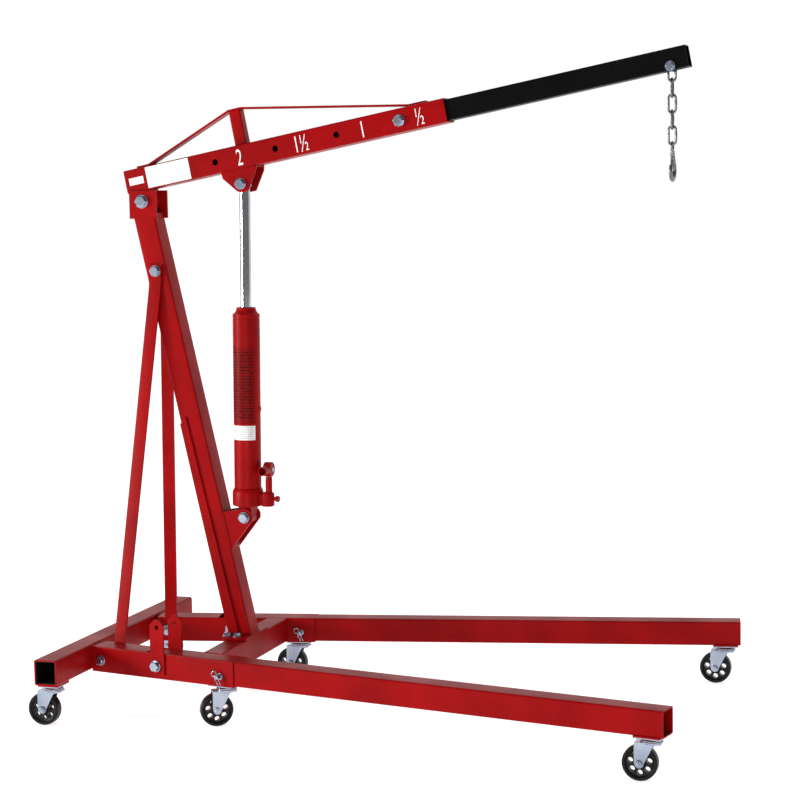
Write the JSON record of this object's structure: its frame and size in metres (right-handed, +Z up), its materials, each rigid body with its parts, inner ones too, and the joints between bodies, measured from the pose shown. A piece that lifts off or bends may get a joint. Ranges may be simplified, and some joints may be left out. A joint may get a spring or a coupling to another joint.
{
  "type": "engine hoist crane",
  "caption": "Folding shop crane on swivel casters: splayed legs, leaning mast, hydraulic ram, telescopic boom, chain and hook.",
  "frame": {"origin": "on the floor under the middle of the overall box", "axes": "+X along the boom and legs towards the hook, +Y across the hoist, +Z up"},
  "size_m": [1.7752, 1.1094, 1.7733],
  "materials": {
    "red_paint": "glossy enamel, lightly worn",
    "black_paint": "semi-gloss enamel",
    "chrome": "hard chromed and polished",
    "zinc_plate": "bright zinc plated",
    "chain_steel": "plated, dull",
    "wheel_plastic": "moulded, satin"
  },
  "bodies": {
    "frame": {"rear_beam": "red_paint", "cross_beam": "red_paint", "base_plate": "red_paint", "mast": "red_paint", "head_bracket": "red_paint", "ram_lower_bracket": "red_paint", "brace_top_bolt": "zinc_plate", "boom_pivot_bolt": "zinc_plate", "ram_lower_bolt": "zinc_plate", "sleeve_near": "red_paint", "stiffener_near": "red_paint", "brace_near": "red_paint", "strap_outer_near": "red_paint", "strap_inner_near": "red_paint", "leg_pivot_bolt_near": "zinc_plate", "brace_bolt_near": "zinc_plate", "lock_pin_near": "zinc_plate", "sleeve_far": "red_paint", "stiffener_far": "red_paint", "brace_far": "red_paint", "strap_outer_far": "red_paint", "strap_inner_far": "red_paint", "leg_pivot_bolt_far": "zinc_plate", "brace_bolt_far": "zinc_plate", "lock_pin_far": "zinc_plate"},
    "boom": {"boom": "red_paint", "king_post": "red_paint", "tie_bar": "red_paint", "ram_upper_bracket": "red_paint", "extension_bolt": "zinc_plate", "ram_upper_bolt": "zinc_plate"},
    "extension": {"extension": "black_paint", "hook_bolt": "zinc_plate"},
    "chain_link_1": {"chain_link_1": "chain_steel"},
    "chain_link_2": {"chain_link_2": "chain_steel"},
    "chain_link_3": {"chain_link_3": "chain_steel"},
    "chain_link_4": {"chain_link_4": "chain_steel"},
    "chain_link_5": {"chain_link_5": "chain_steel"},
    "hook": {"hook": "chain_steel"},
    "hook_latch": {"hook_latch": "zinc_plate"},
    "ram": {"ram_base": "red_paint", "ram_cylinder": "red_paint"},
    "ram_rod": {"ram_rod": "chrome"},
    "pump_plunger": {"pump_plunger": "red_paint"},
    "handle_socket": {"handle_socket": "red_paint"},
    "release_valve": {"release_valve": "red_paint"},
    "leg_near": {"leg_near": "red_paint"},
    "leg_far": {"leg_far": "red_paint"},
    "caster_fork_rear_near": {"caster_fork_rear_near": "zinc_plate"},
    "caster_wheel_rear_near": {"caster_wheel_rear_near": "wheel_plastic"},
    "caster_fork_middle_near": {"caster_fork_middle_near": "zinc_plate"},
    "caster_wheel_middle_near": {"caster_wheel_middle_near": "wheel_plastic"},
    "caster_fork_front_near": {"caster_fork_front_near": "zinc_plate"},
    "caster_wheel_front_near": {"caster_wheel_front_near": "wheel_plastic"},
    "caster_fork_rear_far": {"caster_fork_rear_far": "zinc_plate"},
    "caster_wheel_rear_far": {"caster_wheel_rear_far": "wheel_plastic"},
    "caster_fork_middle_far": {"caster_fork_middle_far": "zinc_plate"},
    "caster_wheel_middle_far": {"caster_wheel_middle_far": "wheel_plastic"},
    "caster_fork_front_far": {"caster_fork_front_far": "zinc_plate"},
    "caster_wheel_front_far": {"caster_wheel_front_far": "wheel_plastic"}
  },
  "joints": [
    {"name": "boom_lift", "type": "hinge", "parent": "frame", "child": "boom", "pos_m": [-0.68213, 0, 1.3966], "axis": [0, -1, 0], "range_deg": [-25, 30]},
    {"name": "extension_slide", "type": "slide", "parent": "boom", "child": "extension", "axis": [0.9826, 0, 0.1857], "range_m": [-0.54, 0]},
    {"name": "chain_swing_1", "type": "hinge", "parent": "extension", "child": "chain_link_1", "pos_m": [0.79492, 0, 1.72047], "axis": [0, 1, 0], "range_deg": [-25, 25]},
    {"name": "chain_swing_2", "type": "hinge", "parent": "chain_link_1", "child": "chain_link_2", "pos_m": [0.79492, 0, 1.68317], "axis": [1, 0, 0], "range_deg": [-35, 35]},
    {"name": "chain_swing_3", "type": "hinge", "parent": "chain_link_2", "child": "chain_link_3", "pos_m": [0.79492, 0, 1.64297], "axis": [0, 1, 0], "range_deg": [-35, 35]},
    {"name": "chain_swing_4", "type": "hinge", "parent": "chain_link_3", "child": "chain_link_4", "pos_m": [0.79492, 0, 1.60277], "axis": [1, 0, 0], "range_deg": [-35, 35]},
    {"name": "chain_swing_5", "type": "hinge", "parent": "chain_link_4", "child": "chain_link_5", "pos_m": [0.79492, 0, 1.56257], "axis": [0, 1, 0], "range_deg": [-35, 35]},
    {"name": "hook_swing", "type": "hinge", "parent": "chain_link_5", "child": "hook", "pos_m": [0.79492, 0, 1.52237], "axis": [1, 0, 0], "range_deg": [-35, 35]},
    {"name": "latch_press", "type": "hinge", "parent": "hook", "child": "hook_latch", "pos_m": [0.79492, -0.0035, 1.48677], "axis": [1, 0, 0], "range_deg": [0, 30], "stiffness_Nm_per_rad": 0.02, "springref_deg": -11.46},
    {"name": "ram_tilt", "type": "hinge", "parent": "frame", "child": "ram", "pos_m": [-0.40363, 0, 0.52], "axis": [0, -1, 0], "range_deg": [-1.6, 1.9]},
    {"name": "ram_extend", "type": "slide", "parent": "ram", "child": "ram_rod", "axis": [0.0152, 0, 0.9999], "range_m": [-0.135, 0.16]},
    {"name": "pump_stroke", "type": "slide", "parent": "ram", "child": "pump_plunger", "axis": [0.0152, 0, 0.9999], "range_m": [-0.01, 0.01]},
    {"name": "handle_rock", "type": "hinge", "parent": "pump_plunger", "child": "handle_socket", "pos_m": [-0.33909, 0, 0.65303], "axis": [0.9999, 0, -0.0152], "range_deg": [-25, 25]},
    {"name": "release_turn", "type": "hinge", "parent": "ram", "child": "release_valve", "pos_m": [-0.32504, 0, 0.57081], "axis": [0.9999, 0, -0.0152], "range_deg": [0, 120]},
    {"name": "leg_fold_near", "type": "hinge", "parent": "frame", "child": "leg_near", "pos_m": [-0.56047, -0.24143, 0.14815], "axis": [-0.1908, -0.9816, 0], "range_deg": [0, 90]},
    {"name": "leg_fold_far", "type": "hinge", "parent": "frame", "child": "leg_far", "pos_m": [-0.56047, 0.24143, 0.14815], "axis": [0.1908, -0.9816, 0], "range_deg": [0, 90]},
    {"name": "swivel_rear_near", "type": "hinge", "parent": "frame", "child": "caster_fork_rear_near", "pos_m": [-0.81513, -0.4, 0.1092], "axis": [0, 0, 1], "continuous": true},
    {"name": "roll_rear_near", "type": "hinge", "parent": "caster_fork_rear_near", "child": "caster_wheel_rear_near", "pos_m": [-0.84313, -0.4, 0.0445], "axis": [0, 1, 0], "continuous": true},
    {"name": "swivel_middle_near", "type": "hinge", "parent": "frame", "child": "caster_fork_middle_near", "pos_m": [-0.36316, -0.27978, 0.1092], "axis": [0, 0, 1], "continuous": true},
    {"name": "roll_middle_near", "type": "hinge", "parent": "caster_fork_middle_near", "child": "caster_wheel_middle_near", "pos_m": [-0.38665, -0.29503, 0.0445], "axis": [-0.5446, 0.8387, 0], "continuous": true},
    {"name": "swivel_front_near", "type": "hinge", "parent": "leg_near", "child": "caster_fork_front_near", "pos_m": [0.84031, -0.51372, 0.1092], "axis": [0, 0, 1], "continuous": true},
    {"name": "roll_front_near", "type": "hinge", "parent": "caster_fork_front_near", "child": "caster_wheel_front_near", "pos_m": [0.81231, -0.51372, 0.0445], "axis": [0, 1, 0], "continuous": true},
    {"name": "swivel_rear_far", "type": "hinge", "parent": "frame", "child": "caster_fork_rear_far", "pos_m": [-0.81513, 0.4, 0.1092], "axis": [0, 0, 1], "continuous": true},
    {"name": "roll_rear_far", "type": "hinge", "parent": "caster_fork_rear_far", "child": "caster_wheel_rear_far", "pos_m": [-0.84313, 0.4, 0.0445], "axis": [0, 1, 0], "continuous": true},
    {"name": "swivel_middle_far", "type": "hinge", "parent": "frame", "child": "caster_fork_middle_far", "pos_m": [-0.36316, 0.27978, 0.1092], "axis": [0, 0, 1], "continuous": true},
    {"name": "roll_middle_far", "type": "hinge", "parent": "caster_fork_middle_far", "child": "caster_wheel_middle_far", "pos_m": [-0.39116, 0.27978, 0.0445], "axis": [0, 1, 0], "continuous": true},
    {"name": "swivel_front_far", "type": "hinge", "parent": "leg_far", "child": "caster_fork_front_far", "pos_m": [0.84031, 0.51372, 0.1092], "axis": [0, 0, 1], "continuous": true},
    {"name": "roll_front_far", "type": "hinge", "parent": "caster_fork_front_far", "child": "caster_wheel_front_far", "pos_m": [0.81231, 0.51372, 0.0445], "axis": [0, 1, 0], "continuous": true}
  ],
  "couplings": [
    {"joint": "ram_tilt", "follows": "boom_lift", "ratio": 0.062},
    {"joint": "ram_extend", "follows": "boom_lift", "m_per_rad": 0.296},
    {"joint": "pump_stroke", "follows": "handle_rock", "m_per_rad": -0.02}
  ]
}
